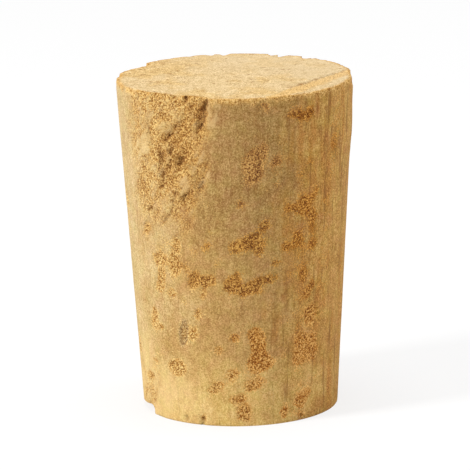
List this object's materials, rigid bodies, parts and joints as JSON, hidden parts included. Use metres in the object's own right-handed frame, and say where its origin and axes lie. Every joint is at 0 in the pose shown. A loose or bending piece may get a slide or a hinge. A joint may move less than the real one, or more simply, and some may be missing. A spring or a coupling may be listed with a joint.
{
  "type": "cork stopper",
  "caption": "Tapered plug of natural cork, wide at the top, with open pores, torn strips and a chipped edge, pressed into the neck of a bottle, flask or jar to close it.",
  "frame": {"origin": "centre of the narrow end's face, on the axis of the taper", "axes": "+Z along the axis, from the narrow end up to the wide end; -Y is the side with the torn strip, and -X the side with the chipped bottom edge"},
  "size_m": [0.0269, 0.027, 0.038],
  "materials": {
    "cork": "natural cork, ground, dry and matt, with open pores"
  },
  "bodies": {
    "root": {"stopper": "cork"}
  },
  "joints": []
}
